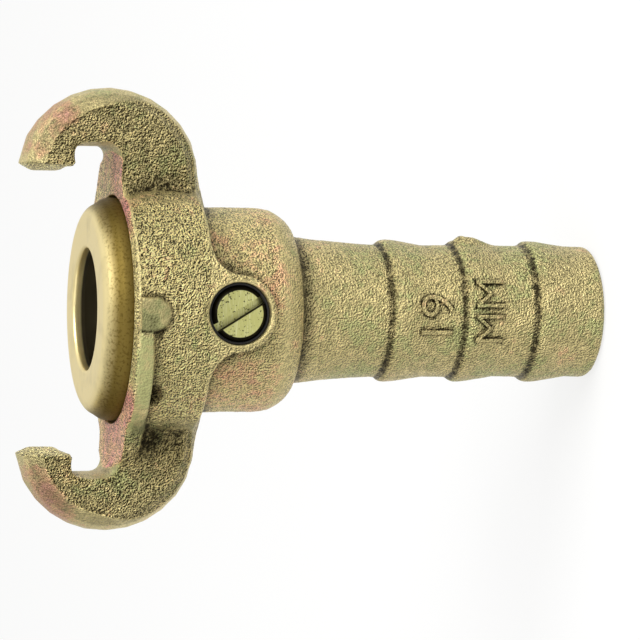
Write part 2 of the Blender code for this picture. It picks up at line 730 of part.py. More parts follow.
def make_valve(parent, materials):
    """Ball, stem and O-ring on the joint's empty, whose Z is the stem's axis."""
    stem, tang, slot = make_stem(materials["stem"])
    add(stem, tang)
    cut(stem, slot)
    o_ring_radius = STEM_HOLE / 2 - GAP - O_RING_SECTION / 2
    section = ring_section(o_ring_radius, o_ring_level(), O_RING_SECTION)
    o_ring = turned("stem_o_ring", section, SMALL_STEPS, materials["rubber"])
    ball, tang_slot = make_ball(materials["ball"])
    cut(ball, tang_slot)
    for obj in (stem, tang, slot, o_ring):
        obj.parent = parent
    for obj in (ball, tang_slot):
        place(obj, rotation=(-math.pi / 2, 0, 0), parent=parent)
    return stem, ball, o_ring


def make_stem_washer(material):
    inner = STEM_DIAMETER / 2 + GAP
    outer = COLLAR_DIAMETER / 2
    low = collar_outer() + GAP
    outline = [(inner, low), (outer, low), (outer, low + WASHER_THICKNESS), (inner, low + WASHER_THICKNESS)]
    washer = turned("stem_washer", outline, SMALL_STEPS, material)
    return place(washer, location=(0, 0, STEM_Z), rotation=(math.pi / 2, 0, 0))


def make_coupling():
    clear_scene()
    materials = {
        "casting": make_material("zinc_chromate_casting", (0.42, 0.36, 0.16), 0.45, 0.75),
        "brass": make_material("turned_brass", (0.78, 0.62, 0.30), 0.28, 1.0),
        "stem": make_material("zinc_chromate_steel", (0.50, 0.50, 0.22), 0.30, 0.9),
        "ball": make_material("plated_ball", (0.70, 0.70, 0.68), 0.15, 1.0),
        "rubber": make_material("seal_rubber", (0.015, 0.014, 0.013), 0.55, 0.0),
        "seat": make_material("seat_plastic", (0.86, 0.86, 0.83), 0.45, 0.0),
    }
    make_body(materials["casting"])
    make_nose_ring(materials["brass"])
    make_nose_seal(materials["rubber"])
    make_seat("front_seat", 1, materials["seat"])
    make_seat("rear_seat", -1, materials["seat"])
    make_stem_washer(materials["seat"])
    axis = bpy.data.objects.new("stem_axis", None)
    bpy.context.scene.collection.objects.link(axis)
    # The empty's Z points along the stem, away from the coupling; its turn sets the slot as photographed.
    tilt = Matrix.Rotation(math.pi / 2, 4, "X")
    turn = Matrix.Rotation(math.radians(STEM_PHOTO_ANGLE), 4, "Z")
    axis.matrix_world = Matrix.Translation((0, 0, STEM_Z)) @ tilt @ turn
    make_valve(axis, materials)


make_coupling()
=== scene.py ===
import math

import bpy
import numpy as np
from mathutils import Matrix, Vector
from mathutils.bvhtree import BVHTree


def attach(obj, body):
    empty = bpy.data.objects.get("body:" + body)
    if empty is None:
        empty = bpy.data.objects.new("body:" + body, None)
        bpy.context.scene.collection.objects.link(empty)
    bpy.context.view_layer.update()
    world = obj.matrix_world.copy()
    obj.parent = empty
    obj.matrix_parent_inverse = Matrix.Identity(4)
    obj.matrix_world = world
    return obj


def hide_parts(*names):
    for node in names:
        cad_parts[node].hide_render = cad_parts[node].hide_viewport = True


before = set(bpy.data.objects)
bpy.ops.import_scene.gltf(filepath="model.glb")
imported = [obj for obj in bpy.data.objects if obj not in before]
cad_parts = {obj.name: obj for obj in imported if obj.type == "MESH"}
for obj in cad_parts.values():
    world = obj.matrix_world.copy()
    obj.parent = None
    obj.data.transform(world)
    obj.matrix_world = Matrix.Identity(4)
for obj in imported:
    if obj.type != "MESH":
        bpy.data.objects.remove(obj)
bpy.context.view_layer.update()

# The coupling stands on its hose tail: axis along Z, claws along X, valve stem out of -Y.
stemZ = 0.0601
slotTurn = math.radians(31.7)  # the screw slot from the coupling's axis, as photographed
mm = 0.001


def startClean():
    if bpy.context.mode != "OBJECT":
        bpy.ops.object.mode_set(mode="OBJECT")
    bpy.ops.object.select_all(action="DESELECT")


def pick(piece):
    startClean()
    piece.select_set(True)
    bpy.context.view_layer.objects.active = piece


def settle(piece):  # leaves the object at the origin with its place in its mesh
    pick(piece)
    bpy.ops.object.transform_apply(location=True, rotation=True, scale=True)


def applyModifier(piece, kind, **settings):
    pick(piece)
    modifier = piece.modifiers.new(kind.lower(), kind)
    for name, value in settings.items():
        setattr(modifier, name, value)
    bpy.ops.object.modifier_apply(modifier=modifier.name)


def arc(centre, radius, start, end, steps):
    angles = [math.radians(start + (end - start) * i / steps) for i in range(steps + 1)]
    return [(centre[0] + radius * math.cos(a), centre[1] + radius * math.sin(a)) for a in angles]


def turnedPiece(name, outline, sides=96, capped=False):
    # one circle drawn out step by step along (radius, level) in mm, as on a lathe
    startClean()
    radius, level = outline[0]
    bpy.ops.mesh.primitive_circle_add(vertices=sides, radius=radius * mm, location=(0, 0, 0))
    piece = bpy.context.object
    piece.name = name
    bpy.ops.object.mode_set(mode="EDIT")
    bpy.ops.mesh.select_mode(type="VERT")
    bpy.ops.mesh.select_all(action="SELECT")
    bpy.ops.transform.translate(value=(0, 0, level * mm))
    if capped:
        bpy.ops.mesh.edge_face_add()
    for nextRadius, nextLevel in outline[1:]:
        rise = (0, 0, (nextLevel - level) * mm)
        bpy.ops.mesh.extrude_region_move(TRANSFORM_OT_translate={"value": rise})
        grow = nextRadius / radius
        bpy.ops.transform.resize(value=(grow, grow, 1), center_override=(0, 0, nextLevel * mm))
        radius, level = nextRadius, nextLevel
    if not capped:  # the last ring meets the first
        bpy.ops.mesh.select_all(action="DESELECT")
        bpy.ops.mesh.select_mode(type="EDGE")
        bpy.ops.mesh.select_non_manifold()
        bpy.ops.mesh.bridge_edge_loops()
    bpy.ops.mesh.select_all(action="SELECT")
    bpy.ops.mesh.remove_doubles(threshold=0.000001)
    bpy.ops.mesh.normals_make_consistent(inside=False)
    bpy.ops.object.mode_set(mode="OBJECT")
    return piece


def smoothShade(piece, angle=35):
    pick(piece)
    bpy.ops.object.shade_smooth_by_angle(angle=math.radians(angle))


def linear(hexColour):  # "#rrggbb" as a painter writes it, to what the nodes want
    parts = [int(hexColour[i:i + 2], 16) / 255 for i in (1, 3, 5)]
    return [c / 12.92 if c <= 0.04045 else ((c + 0.055) / 1.055) ** 2.4 for c in parts] + [1.0]


def addNode(tree, kind, inputs=None, **settings):  # a node, its settings, and its values or links
    made = tree.nodes.new(kind)
    for name, value in settings.items():
        setattr(made, name, value)
    for name, value in (inputs or {}).items():
        if isinstance(value, bpy.types.NodeSocket):
            tree.links.new(value, made.inputs[name])
        else:
            made.inputs[name].default_value = value
    return made


def newMaterial(name):
    material = bpy.data.materials.new(name)
    material.use_nodes = True
    tree = material.node_tree
    tree.nodes.clear()
    return material, tree


def finishMaterial(tree, shader):
    addNode(tree, "ShaderNodeOutputMaterial", {"Surface": shader.outputs[0]})


def rampStops(ramp, stops):
    stripe = ramp.color_ramp
    while len(stripe.elements) < len(stops):
        stripe.elements.new(0.5)
    for element, (place, hexColour) in zip(stripe.elements, stops):
        element.position = place
        element.color = linear(hexColour)


def noise(tree, place, scale, detail, roughness=0.5):
    return addNode(tree, "ShaderNodeTexNoise", {
        "Vector": place, "Scale": scale, "Detail": detail, "Roughness": roughness}).outputs["Fac"]


def remap(tree, value, low, high, toLow=0.0, toHigh=1.0, **settings):
    return addNode(tree, "ShaderNodeMapRange", {
        "Value": value, "From Min": low, "From Max": high, "To Min": toLow, "To Max": toHigh,
    }, **settings).outputs[0]


def calc(tree, operation, *values, **settings):
    inputs = dict(enumerate(values))
    return addNode(tree, "ShaderNodeMath", inputs, operation=operation, **settings).outputs[0]


def blend(tree, share, first, second):  # each colour is "#rrggbb" or comes from another node
    first, second = (linear(c) if isinstance(c, str) else c for c in (first, second))
    return addNode(tree, "ShaderNodeMix", {
        "Factor": share, 6: first, 7: second}, data_type="RGBA").outputs[2]


def fromAxis(tree, first, second):  # distance, from the two coordinates square to the axis
    flat = addNode(tree, "ShaderNodeCombineXYZ", {0: first, 1: 0.0, 2: second}).outputs[0]
    return addNode(tree, "ShaderNodeVectorMath", {0: flat}, operation="LENGTH").outputs["Value"]


def bumps(tree, height, depth, strength):  # depth in mm
    return addNode(tree, "ShaderNodeBump", {
        "Strength": strength, "Distance": depth * mm, "Height": height}).outputs[0]


def dress(piece, material, body, slotName, *replacedNodes):
    piece.data.materials.clear()
    piece.data.materials.append(material)
    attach(piece, body)
    if replacedNodes:
        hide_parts(*replacedNodes)


# camera: a long lens a little above the floor, the coupling lying along the picture

cameraLook = {
    "elevation": 14.8,
    "aroundZ": 2.0,
    "roll": -0.26,
    "target": (-0.0015, 0, 0.043),
    "distance": 0.6,
    "lens": 219.4,
}


def makeCamera(look):
    high, turn, roll = (math.radians(look[k]) for k in ("elevation", "aroundZ", "roll"))
    back = Vector((math.cos(high) * math.sin(turn), -math.cos(high) * math.cos(turn), math.sin(high)))
    up = Vector((math.cos(turn), math.sin(turn), 0))  # the claws' axis stands upright in the picture
    right = up.cross(back)
    rolledUp = up * math.cos(roll) + right * math.sin(roll)
    rolledRight = right * math.cos(roll) - up * math.sin(roll)
    place = Vector(look["target"]) + back * look["distance"]
    lens = bpy.data.cameras.new("camera")
    lens.lens = look["lens"]
    lens.sensor_width = 36
    lens.clip_start = 0.05
    camera = bpy.data.objects.new("camera", lens)
    bpy.context.scene.collection.objects.link(camera)
    camera.matrix_world = Matrix((
        (rolledRight.x, rolledUp.x, back.x, place.x),
        (rolledRight.y, rolledUp.y, back.y, place.y),
        (rolledRight.z, rolledUp.z, back.z, place.z),
        (0, 0, 0, 1),
    ))
    bpy.context.scene.camera = camera


makeCamera(cameraLook)
print("camera placed")


castLook = {
    "film": (              # tints of the passivation's thin film along its ramp
        (0.38, "#bebd79"),   # leaf
        (0.47, "#cab97a"),   # olive
        (0.55, "#d9c884"),   # straw
        (0.67, "#dfae7b"),   # rose
        (0.90, "#cb7a80"),   # pink
    ),
    # colour of the painted shade in creases, pits and on the grains' shadowed sides, also used for
    # the plainly darker zones
    "shadeColour": "#2c240e",
    "saturation": 0.91,
    "metallic": 0.8,
    "roughness": 0.40,
    "roughnessDrift": 0.08,
    "patch": 8.0,          # mm, from one tint of the film to the next
    "mottle": 1.5,         # mm, the smaller drift inside a patch
    "grain": 0.29,         # mm, the grit of a fine moulding sand
    "relief": 0.75,        # mm, height given to that grain, more than the real 0.1 so that it shows
    "leastRelief": 0.25,   # share of it where the casting is smooth
    "leeStep": 0.08,       # mm, from a grain's painted highlight to its painted shadow
    "darkSlope": 0.060,    # fall of the grain at which its painted shadow is full
    "brightSlope": 0.07,   # rise at which its painted highlight is full
    # strength of the painted shadow on the grains' far sides
    "grainShadow": 1.0,
    # strength of the painted highlight on their near sides
    "grainHighlight": 0.72,
}


def castMaterial(look):
    # Sand-cast malleable iron, zinc plated and yellow passivated: dull olive gold whose thin film
    # drifts to leaf green and rose, with a painted highlight and painted shadow on its sand grain,
    # and painted shade in its pits and creases.
    material, tree = newMaterial("sand_cast_iron_yellow_zinc")
    place = addNode(tree, "ShaderNodeTexCoord").outputs["Object"]
    rough, tint, pit, crease = (
        addNode(tree, "ShaderNodeAttribute", attribute_name=name).outputs["Fac"]
        for name in ("grain", "tint", "pit", "crease"))
    patches = noise(tree, place, 1000 / look["patch"], 3.0, 0.55)
    mottles = noise(tree, place, 1000 / look["mottle"], 4.0, 0.7)
    drift = calc(tree, "ADD", patches, mottles)
    halfDrift = calc(tree, "MULTIPLY_ADD", drift, 0.5, -0.25)
    along = calc(tree, "MULTIPLY_ADD", tint, 0.5, halfDrift)
    tints = addNode(tree, "ShaderNodeValToRGB", {"Fac": along})
    rampStops(tints, look["film"])

    # painted light on the grain: each grain is painted bright on its side towards the claws and
    # painted dark on the other, as if lit from there
    step = look["leeStep"] * mm
    beyond = addNode(tree, "ShaderNodeVectorMath", {
        0: place, 1: (step, -step * 0.3, step)}, operation="ADD").outputs[0]
    grain, grainBeyond = (
        noise(tree, where, 1000 / look["grain"], 2.0, 0.6) for where in (place, beyond))
    slope = calc(tree, "SUBTRACT", grain, grainBeyond)
    lows = remap(tree, slope, 0.0, -look["darkSlope"], 0.0, look["grainShadow"])
    highs = remap(tree, slope, -0.01, look["brightSlope"])
    lowsHere = calc(tree, "MULTIPLY_ADD", lows, rough, pit)
    highsHere = calc(tree, "MULTIPLY", highs, rough)

    ragged = remap(tree, mottles, 0.35, 0.65, 1.35, 0.55)  # breaks up the edges of the painted shade in the creases
    # painted shade: the crease attribute's painted shade and darker zones, with the painted shadows
    # of the grains and pits
    darkness = calc(tree, "MULTIPLY_ADD", crease, ragged, lowsHere, use_clamp=True)
    # painted highlight: the grains' lit sides are painted lighter
    gain = calc(tree, "MULTIPLY_ADD", highsHere, look["grainHighlight"], 1.0)
    lit = addNode(tree, "ShaderNodeHueSaturation", {
        "Color": tints.outputs["Color"], "Saturation": look["saturation"], "Value": gain}).outputs[0]
    colour = blend(tree, darkness, lit, look["shadeColour"])
    middle, swing = look["roughness"], look["roughnessDrift"]
    roughness = remap(tree, mottles, 0.3, 0.7, middle + swing, middle - swing)
    strength = remap(tree, rough, 0.0, 1.0, look["leastRelief"], 1.0)
    finishMaterial(tree, addNode(tree, "ShaderNodeBsdfPrincipled", {
        "Base Color": colour, "Metallic": look["metallic"], "Roughness": roughness,
        "Normal": bumps(tree, grain, look["relief"], strength)}))
    return material


brassLook = {
    # one brass painted in two tones: the front with a painted highlight, the side with painted shade
    "front": "#fae8ac",
    "side": "#7a6833",
    "tarnish": "#5f4f24",
    # painted shade inside the bore
    "bore": "#5c5440",
    "roughness": 0.40,
    "sideRoughness": 0.18,     # added down the side
    "toolMark": 0.30,          # mm between the lathe's marks, real ones are about 0.1
    "shoulder": (14.6, 16.4),  # mm from the axis, where the front turns into the side
    "boreEdge": (10.35, 10.25),
    "lip": (78.75, 78.45),     # mm up, the bore's painted shade starts below it
}


def brassMaterial(look):
    # Turned brass, satin: pale gold on the front as a painted highlight, painted darker and rougher
    # down the side as painted shade, with fine dark specks there, and painted grey brown inside the
    # bore as painted shade. The lathe's rings show faintly.
    material, tree = newMaterial("turned_satin_brass")
    place = addNode(tree, "ShaderNodeTexCoord").outputs["Object"]
    x, y, z = addNode(tree, "ShaderNodeSeparateXYZ", {0: place}).outputs
    radius = fromAxis(tree, x, y)
    along = addNode(tree, "ShaderNodeCombineXYZ", {0: radius, 1: 0.0, 2: z}).outputs[0]
    marks = noise(tree, along, 1000 / look["toolMark"], 2.0)
    clouding = noise(tree, place, 250.0, 4.0)
    specks = noise(tree, place, 2400.0, 2.0)
    onSide, inBore, belowLip = (
        remap(tree, value, *(edge * mm for edge in look[name]), interpolation_type=kind)
        for value, name, kind in (
            (radius, "shoulder", "SMOOTHSTEP"), (radius, "boreEdge", "LINEAR"), (z, "lip", "LINEAR")))
    # painted highlight on the front, painted shade down the side
    base = blend(tree, onSide, look["front"], look["side"])
    dots = remap(tree, specks, 0.50, 0.34, 0.0, 0.8)
    speckled = blend(tree, calc(tree, "MULTIPLY", dots, onSide), base, look["tarnish"])
    clouded = blend(tree, remap(tree, clouding, 0.5, 0.9, 0.0, 0.3), speckled, look["tarnish"])
    # painted shade inside the bore, below its lip
    colour = blend(tree, calc(tree, "MULTIPLY", inBore, belowLip), clouded, look["bore"])
    satin = remap(tree, marks, 0.0, 1.0, look["roughness"] - 0.06, look["roughness"] + 0.08)
    roughness = calc(tree, "MULTIPLY_ADD", onSide, look["sideRoughness"], satin)
    finishMaterial(tree, addNode(tree, "ShaderNodeBsdfPrincipled", {
        "Base Color": colour, "Metallic": 1.0, "Roughness": roughness,
        "Normal": bumps(tree, marks, 0.03, 0.3)}))
    return material


stemLook = {
    "face": "#bfbd78",
    "scratch": "#dcdcaa",
    # black: painted shade and grease in the gap round the face, also the colour of the face's few
    # black specks
    "chamfer": "#15130c",
    "roughness": 0.34,
    "faceRadius": (3.47, 3.55),  # mm, past it the chamfer starts
    "chamferStart": -17.1,       # mm along Y, it lies in front of this
}


def stemMaterial(look):
    # Turned steel, yellow passivated zinc: greenish gold, with fine scratches and a few black specks.
    material, tree = newMaterial("turned_steel_yellow_zinc")
    place = addNode(tree, "ShaderNodeTexCoord").outputs["Object"]
    stretched = addNode(tree, "ShaderNodeMapping", {
        "Vector": place, "Rotation": (0.0, 0.5, 0.0), "Scale": (400.0, 400.0, 6000.0)}).outputs[0]
    scratches = noise(tree, stretched, 1.0, 3.0)
    specks = noise(tree, place, 2600.0, 2.0)
    colour = blend(tree, remap(tree, scratches, 0.5, 0.8), look["face"], look["scratch"])
    speckled = blend(tree, remap(tree, specks, 0.38, 0.33, 0.0, 0.85), colour, look["chamfer"])
    # the chamfer round the face is painted black: painted shade in the gap round the stem, and grease
    x, y, z = addNode(tree, "ShaderNodeSeparateXYZ", {0: place}).outputs
    radius = fromAxis(tree, x, calc(tree, "SUBTRACT", z, stemZ))
    past = remap(tree, radius, *(edge * mm for edge in look["faceRadius"]))
    nearFace = calc(tree, "LESS_THAN", y, look["chamferStart"] * mm)
    shaded = blend(tree, calc(tree, "MULTIPLY", past, nearFace), speckled, look["chamfer"])
    finishMaterial(tree, addNode(tree, "ShaderNodeBsdfPrincipled", {
        "Base Color": shaded, "Metallic": 0.9, "Roughness": look["roughness"],
        "Normal": bumps(tree, scratches, 0.03, 0.2)}))
    return material


plainLooks = {
    "milled_steel_slot_shade": {     # the slot's sides as the milling cutter left them, painted dark as painted shade in the slot
        "tones": ("#17140b", "#4d4724"),
        "clouds": (1500.0, 2.0),   # how many to the metre, and how many finer layers
        "surface": {"Metallic": 0.7, "Roughness": 0.5},
    },
    "moulded_black_rubber": {  # nitrile: near black, almost matt, with a fine moulded grain
        "tones": ("#080706", "#12100d"),
        "clouds": (2500.0, 2.0),
        "surface": {"Roughness": 0.65, "IOR": 1.52},
        "bumps": (0.02, 0.15),     # mm deep, and strength
    },
    "turned_ptfe": {           # milky white, waxy and soft
        "tones": ("#e4e2dc", "#cfccc2"),
        "clouds": (500.0, 3.0),
        "surface": {"Roughness": 0.45, "IOR": 1.35},
    },
    "polished_chrome_plate": {  # over brass: bright, faintly hazed by wear
        "tones": ("#c9c9c6", "#b6b6b2"),
        "clouds": (300.0, 4.0),
        "surface": {"Metallic": 1.0},
        "haze": (0.08, 0.22),      # roughness from the clear spots to the worn ones
    },
}


def plainMaterial(name):  # one surface whose colour drifts between two near tones
    look = plainLooks[name]
    material, tree = newMaterial(name)
    place = addNode(tree, "ShaderNodeTexCoord").outputs["Object"]
    cloud = noise(tree, place, *look["clouds"])
    inputs = {"Base Color": blend(tree, cloud, *look["tones"]), **look["surface"]}
    if "haze" in look:
        inputs["Roughness"] = remap(tree, cloud, 0.0, 1.0, *look["haze"])
    if "bumps" in look:
        inputs["Normal"] = bumps(tree, cloud, *look["bumps"])
    finishMaterial(tree, addNode(tree, "ShaderNodeBsdfPrincipled", inputs))
    return material


castIron = castMaterial(castLook)
brass = brassMaterial(brassLook)
stemSteel = stemMaterial(stemLook)
slotWall, rubber, ptfe, chrome = (plainMaterial(name) for name in plainLooks)
print("materials ready")


# the casting: the solid's own shape, skinned finely enough to carry the sand's relief

castingShape = {
    "skin": 0.30,         # mm between the points of the new skin
    "relax": 2,           # rounds that soften the solid's facets
    "softRounds": 160,    # rounds at the wings' ends, behind them and in the hooks' corners
    "sandRelief": 0.34,   # mm deep on the rough sides
    "sandSize": 0.70,     # mm across
    "waveRelief": 0.20,   # mm, slow unevenness of a sand mould
    "waveSize": 6.0,
    "faces": 195000,
    "flash": (            # on the middle barb's parting line: place, size and height in mm
        ((11.1, -1.7, 21.3), (1.6, 1.5, 1.0), 0.75),
        ((11.1, -1.6, 19.6), (1.6, 1.5, 1.6), 0.80),
        ((11.0, -1.5, 17.6), (1.6, 1.4, 1.8), 0.45),
    ),
    "pits": (             # sand pits between the claw and the stem: across and up, in mm
        (9.3, 71.2), (8.4, 70.1), (7.4, 71.9), (6.9, 70.2), (9.4, 69.1), (2.0, 71.8),
        (3.1, 69.7), (0.8, 69.8), (-3.0, 72.2), (10.6, 72.4), (5.6, 71.3),
    ),
    "pitSize": (0.85, 1.2, 0.34),
    "pitDepth": 0.30,
    "softPocket": 0.15,   # shares of the full softening
    "softRoot": 0.3,
    "around": (3, 30, 90),  # rounds that find a point's near, wider and widest surroundings
    # shares of the sand's full relief, and of its full grain
    "bite": {"claw": 0.1, "hub": 0.9, "barrel": 0.3, "tail": 0.2, "plain": 0.15},
    "grain": {"claw": 0.29, "barrel": 0.72, "tail": 0.58, "plain": 0.20, "face": 0.9},
    "tint": {             # the middle of the film's ramp, and what is added to it
        "middle": 0.5, "face": 0.78, "outerTip": 0.33, "waist": 0.09, "waistSide": 0.06,
        "lowRose": 0.20, "band": -0.15, "claw": -0.04, "tail": -0.09,
    },
    "dark": {             # how much darker each place is painted: painted shade in pits, creases, valleys, the neck's foot, the claws' roots and sides, round the pad and on the barbs' steps, and a plain darkening of the band, pad, tail, barrel and outer tips
        "pit": 0.40, "crease": 0.26, "valley": 0.26, "foot": 0.40, "root": 0.38, "padEdge": 0.45,
        "clawSide": 0.28, "barbStep": 0.62,
        "band": 0.14, "pad": 0.34, "tail": 0.12, "barrel": 0.06, "outerTip": 0.13,
    },
}

# places of the solid, in mm from the axis and up
crests = (10.45, 22.03, 33.61)  # where each barb drops back on the side towards the claws
hubRadius = 19.3
bend = (19.85, 76.7)            # centre of a claw's round back
hookCorners = (((24.6, 82.8), 0.5), ((24.6, 75.9), 1.0))  # and how soft each one is


def readCoords(mesh):
    coords = np.empty(len(mesh.vertices) * 3, dtype=np.float64)
    mesh.vertices.foreach_get("co", coords)
    return coords.reshape(-1, 3)


def readNormals(mesh):
    normals = np.empty(len(mesh.vertices) * 3, dtype=np.float64)
    mesh.vertices.foreach_get("normal", normals)
    return normals.reshape(-1, 3)


def ease(values, low, high):
    t = np.clip((values - low) / (high - low), 0, 1)
    return t * t * (3 - 2 * t)


def castingZones(coords, normals, shape):
    # how deep the sand bites, how grainy it looks, the film's tint, and how much darker some zones
    # are painted
    x, y, z = (coords * 1000).T
    nx, ny, nz = normals.T
    out = np.abs(x)
    radius = np.hypot(x, y)
    bore = np.interp(z, [0, 46, 53, 56, 70, 70.2, 76], [9.0, 9.0, 11.0, 13.9, 14.2, 17.7, 17.7])
    outside = ease(radius, bore, bore + 0.3)
    stemHole = (y < -10) * (1 - ease(np.hypot(x, z - stemZ * 1000), 4.9, 5.3))
    belowTips = z < 81
    face = ease(z, 75.3, 75.7) * (nz > 0.6) * (radius < 24) * belowTips
    rim = ease(z, 75.0, 75.4) * (1 - ease(out, 17, 20)) * (1 - face) * belowTips
    claw = ease(out, 15.5, 17.5) * ease(z, 60, 63)
    # a claw's back is a smooth band, its sides and the end of its tip are rough
    fromBend = np.hypot(out - bend[0], z - bend[1])
    aroundBend = np.degrees(np.arctan2(z - bend[1], out - bend[0]))
    border = 12.4 - 1.6 * ease(z, 70, 80)
    side = ease(np.abs(ny), 0.42, 0.56) * (1 - ease(fromBend, border - 0.15, border + 0.15))
    tipEnd = ease(z, 80, 82) * (nx * np.sign(x) < -0.5)
    outerTip = (ease(aroundBend, 22, 36) * (1 - ease(aroundBend, 70, 80))
                * ease(fromBend, 10.0, 11.6) * claw)
    hub = ease(z, 63.9, 64.7) * ease(radius, 17.6, 18.2)
    band = (ease(radius, 20.0, 20.2) * ease(z, 72.7, 73.0)
            * (1 - ease(out, 17.5, 18.5)) * (x * y > 0))  # the wing's low end
    pad = (out < 2.7) * ease(radius, 19.9, 20.1) * (z > 70)
    barrel = ease(z, 50, 54) * (1 - hub)
    tail = 1 - ease(z, 50, 54)
    plain = np.maximum.reduce([band, pad, face, rim])

    share = shape["bite"]
    bite = np.maximum.reduce([
        claw * (share["claw"] + (1 - share["claw"]) * side), hub * share["hub"] * (1 - claw),
        barrel * share["barrel"], tail * share["tail"]])
    bite = bite * (1 - (1 - share["plain"]) * plain) * outside * (1 - stemHole)

    share = shape["grain"]
    grain = np.maximum.reduce([
        claw * (share["claw"] + (1 - share["claw"]) * np.maximum(side, tipEnd)), hub * (1 - claw),
        barrel * share["barrel"], tail * share["tail"]])
    grain = grain * (1 - (1 - share["plain"]) * plain) * outside * (1 - 0.7 * stemHole)
    grain = np.maximum(grain, share["face"] * face)

    facePink = face * ease(out, 9, 15) * (1 - 0.6 * ease(y, -8, 2))
    waist = ease(z, 40, 50) * (1 - ease(z, 62.5, 64))
    lowRose = np.exp(-((z - 6) / 4) ** 2 - ((x + 6.5) / 2.5) ** 2) * (y < 0)  # on the tail's end
    share = shape["tint"]
    tint = (share["middle"] + share["face"] * facePink + share["outerTip"] * outerTip
            + waist * (share["waist"] + share["waistSide"] * ease(-x, 2, 8))
            + share["lowRose"] * lowRose + share["band"] * (band + pad)
            + share["claw"] * claw + share["tail"] * tail)

    share = shape["dark"]
    # a plain darkening of these zones
    dull = (band * share["band"] + pad * share["pad"] + tail * share["tail"]
            + barrel * share["barrel"] + outerTip * share["outerTip"])
    return bite, grain, tint, dull


def weightGroup(piece, name, weights):
    group = piece.vertex_groups.new(name=name)
    steps = np.round(weights * 20).astype(int)
    for step in range(1, 21):
        group.add(np.flatnonzero(steps == step).tolist(), step / 20, "REPLACE")


def relaxed(coords, edges, rounds):
    count = np.bincount(edges.ravel(), minlength=len(coords))[:, None].clip(1)
    for _ in range(rounds):
        total = np.empty_like(coords)
        for axis in range(3):
            line = coords[:, axis]
            total[:, axis] = (np.bincount(edges[:, 0], line[edges[:, 1]], len(coords))
                              + np.bincount(edges[:, 1], line[edges[:, 0]], len(coords)))
        coords = total / count
    return coords


def paint(mesh, name, values):
    layer = mesh.attributes.new(name, "FLOAT", "POINT")
    layer.data.foreach_set("value", np.clip(values, 0, 1).astype(np.float32))


def softPlaces(coords, shape):
    # where the wings run out, the pockets behind them, the claws' roots and the hooks' corners
    x, y, z = (coords * 1000).T
    out, deep = np.abs(x), np.abs(y)
    onWingSide = x * y > 0
    runOut = (ease(out, 15.0, 18.0) * ease(z, 66, 69) * (1 - ease(z, 75.0, 75.5))
              * onWingSide * (deep > 3))
    pocket = (np.hypot(out - 12.6, deep - 15.6) < 2.6) * onWingSide * (z > 67) * (z < 73)
    root = (ease(out, 16.5, 17.5) * (1 - ease(out, 20, 21)) * (z > 61)
            * (1 - ease(z, 74, 75)) * (deep > 5))
    corners = sum(share * (1 - ease(np.hypot(out - place[0], z - place[1]), 1.0, 2.6))
                  for place, share in hookCorners)
    return np.maximum.reduce([
        runOut, pocket * shape["softPocket"], root * shape["softRoot"], corners])


def pushLumps(mesh, coords, normals, shape):
    pits = tuple(
        ((across, -(hubRadius ** 2 - across ** 2) ** 0.5, level),
         shape["pitSize"], -shape["pitDepth"])
        for across, level in shape["pits"])
    for place, size, height in shape["flash"] + pits:
        offset = (coords * 1000 - place) / size
        lift = np.exp(-(offset ** 2).sum(axis=1) * 1.4) * height * mm
        coords = coords + normals * lift[:, None]
    mesh.vertices.foreach_set("co", coords.ravel())
    mesh.update()
    return coords


def paintCasting(mesh, coords, normals, shape):
    edges = np.empty(len(mesh.edges) * 2, dtype=np.int64)
    mesh.edges.foreach_get("vertices", edges)
    edges = edges.reshape(-1, 2)
    surfaces = [coords]
    for rounds in shape["around"]:
        surfaces.append(relaxed(surfaces[-1], edges, rounds))
    # mm that each point lies below its near, its wider and its widest surroundings
    pit, crease, valley = (
        np.einsum("ij,ij->i", smoother - surface, normals) * 1000
        for surface, smoother in zip(surfaces, surfaces[1:]))
    bite, grain, tint, dull = castingZones(coords, normals, shape)
    x, y, z = (coords * 1000).T
    out, sideways = np.abs(x), np.abs(normals[:, 1])
    share = shape["dark"]
    # painted shade on the barbs' steps
    barbStep = sum(ease(z, c + 0.1, c + 0.5) * (1 - ease(z, c + 1.0, c + 1.35)) for c in crests)
    barbStep = barbStep * (np.hypot(x, y) > 9.5)
    onFace = (normals[:, 2] > 0.7) * (z > 75)
    # painted shade in creases and valleys, less of it on the face
    dark = (ease(crease, 0.04, 0.30) * share["crease"] * (1 - 0.7 * onFace)
            + ease(valley, 0.05, 0.6) * share["valley"] * (1 - onFace))
    foot = np.exp(-((z - 47.7) / 0.8) ** 2) * share["foot"]  # painted shade in the hollow where the neck meets the barrel
    # painted shade in the crease at the claws' roots
    root = (np.exp(-((out - 17.3) / 1.2) ** 2) * (z > 62) * (z < 75)
            * (sideways > 0.25) * share["root"])
    fromPad = np.hypot(x, np.maximum(73.35 - z, 0)) - 2.55  # mm outside the pad's round-ended outline
    # painted shade along the foot of the pad's raised edge
    padEdge = (np.exp(-((fromPad - 0.15) / 0.22) ** 2) * share["padEdge"]
               * (np.abs(y) > 18) * (z < 75.3) * (z > 69))
    # painted shade on the claws' sides
    clawSideShade = ease(out, 17, 20) * (sideways > 0.4) * share["clawSide"]
    paint(mesh, "grain", grain)
    paint(mesh, "tint", tint)
    # painted shade in the small pits, stronger where the sand bites deeper
    paint(mesh, "pit", ease(pit, 0.0, 0.08) * share["pit"] * (0.3 + 0.7 * bite))
    # the crease attribute holds all this painted shade and the plain darker zones
    paint(mesh, "crease", (dark + foot + root) * (1 - barbStep) + barbStep * share["barbStep"]
          + dull + padEdge + clawSideShade)


